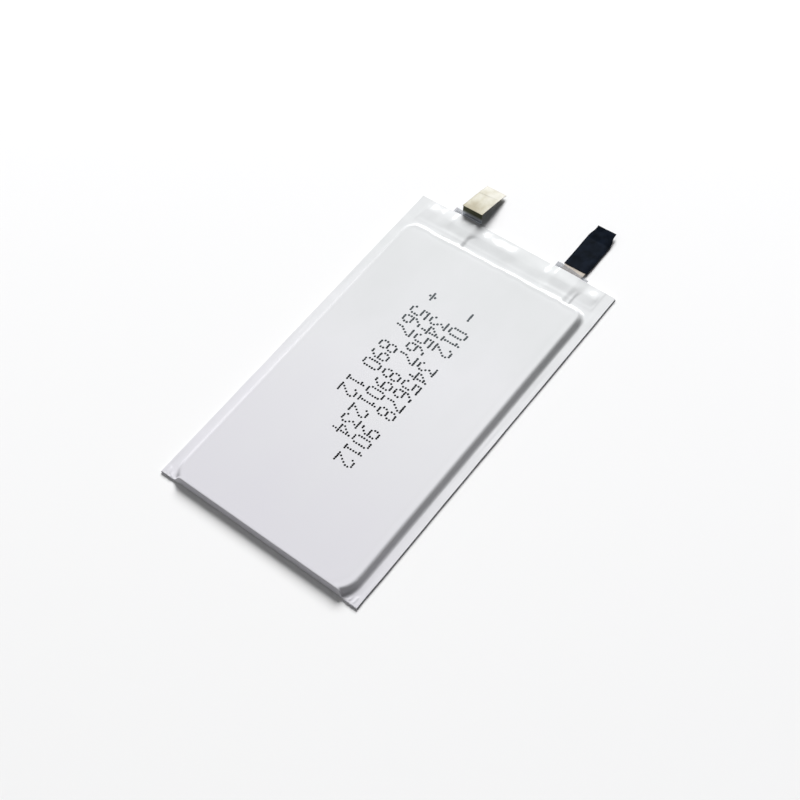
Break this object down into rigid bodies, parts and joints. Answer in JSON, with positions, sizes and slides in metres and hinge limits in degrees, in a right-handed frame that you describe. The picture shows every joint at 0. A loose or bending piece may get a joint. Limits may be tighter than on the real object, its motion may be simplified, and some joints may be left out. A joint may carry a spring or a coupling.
{
  "type": "pouch battery cell",
  "caption": "Thin rectangular lithium-polymer pouch cell, laminate film folded at one end and heat sealed round a stacked electrode pack, with flat metal tabs that bend.",
  "frame": {"origin": "centre of the pouch outline, 30 x 50 mm with the side seals and without the tabs, on the plane of the flat back", "axes": "+Y from the folded end to the tab end, +X across the width towards the negative tab, +Z out of the formed face that carries the printing"},
  "size_m": [0.03, 0.0578, 0.0016],
  "materials": {
    "nylon_film": "satin",
    "laminate_aluminium": "satin",
    "polypropylene": "translucent",
    "tab_sealant": "translucent",
    "copper_foil": "bare copper",
    "graphite_layer": "matte",
    "aluminium_foil": "bright",
    "cathode_oxide": "matte",
    "separator_film": "matte",
    "fixing_tape": "glossy",
    "weld_tape": "glossy amber",
    "black_tape": "satin",
    "nickel": "satin",
    "tab_aluminium": "satin"
  },
  "bodies": {
    "cell": {"anode_copper_foil_1": "copper_foil", "anode_copper_foil_2": "copper_foil", "anode_copper_foil_3": "copper_foil", "anode_layer_1_upper": "graphite_layer", "anode_layer_2_lower": "graphite_layer", "anode_layer_2_upper": "graphite_layer", "anode_layer_3_lower": "graphite_layer", "cathode_aluminium_foil_1": "aluminium_foil", "cathode_aluminium_foil_2": "aluminium_foil", "cathode_layer_1_lower": "cathode_oxide", "cathode_layer_1_upper": "cathode_oxide", "cathode_layer_2_lower": "cathode_oxide", "cathode_layer_2_upper": "cathode_oxide", "negative_tab_root": "nickel", "negative_tab_sealant_lower": "tab_sealant", "negative_tab_sealant_upper": "tab_sealant", "negative_weld_tape": "weld_tape", "positive_tab_root": "tab_aluminium", "positive_tab_sealant_lower": "tab_sealant", "positive_tab_sealant_upper": "tab_sealant", "positive_weld_tape": "weld_tape", "pouch_aluminium_layer": "laminate_aluminium", "pouch_nylon_layer": "nylon_film", "pouch_polypropylene_layer": "polypropylene", "separator": "separator_film", "stack_tape_left": "fixing_tape", "stack_tape_right": "fixing_tape"},
    "positive_riser": {"positive_tab_riser": "tab_aluminium"},
    "positive_strip": {"positive_tab_outer": "tab_aluminium", "positive_nickel_strip": "nickel"},
    "negative_strip": {"negative_tab_outer": "nickel", "negative_tab_tape": "black_tape"}
  },
  "joints": [
    {"name": "positive_root_bend", "type": "hinge", "parent": "cell", "child": "positive_riser", "pos_m": [-0.00725, 0.02525, 0.00021], "axis": [1, 0, 0], "range_deg": [-72, 18]},
    {"name": "positive_elbow_bend", "type": "hinge", "parent": "positive_riser", "child": "positive_strip", "pos_m": [-0.00725, 0.02566, 0.00148], "axis": [1, 0, 0], "range_deg": [-40, 70]},
    {"name": "negative_root_bend", "type": "hinge", "parent": "cell", "child": "negative_strip", "pos_m": [0.00835, 0.02568, 0.00021], "axis": [1, 0, 0], "range_deg": [-60, 90]}
  ]
}
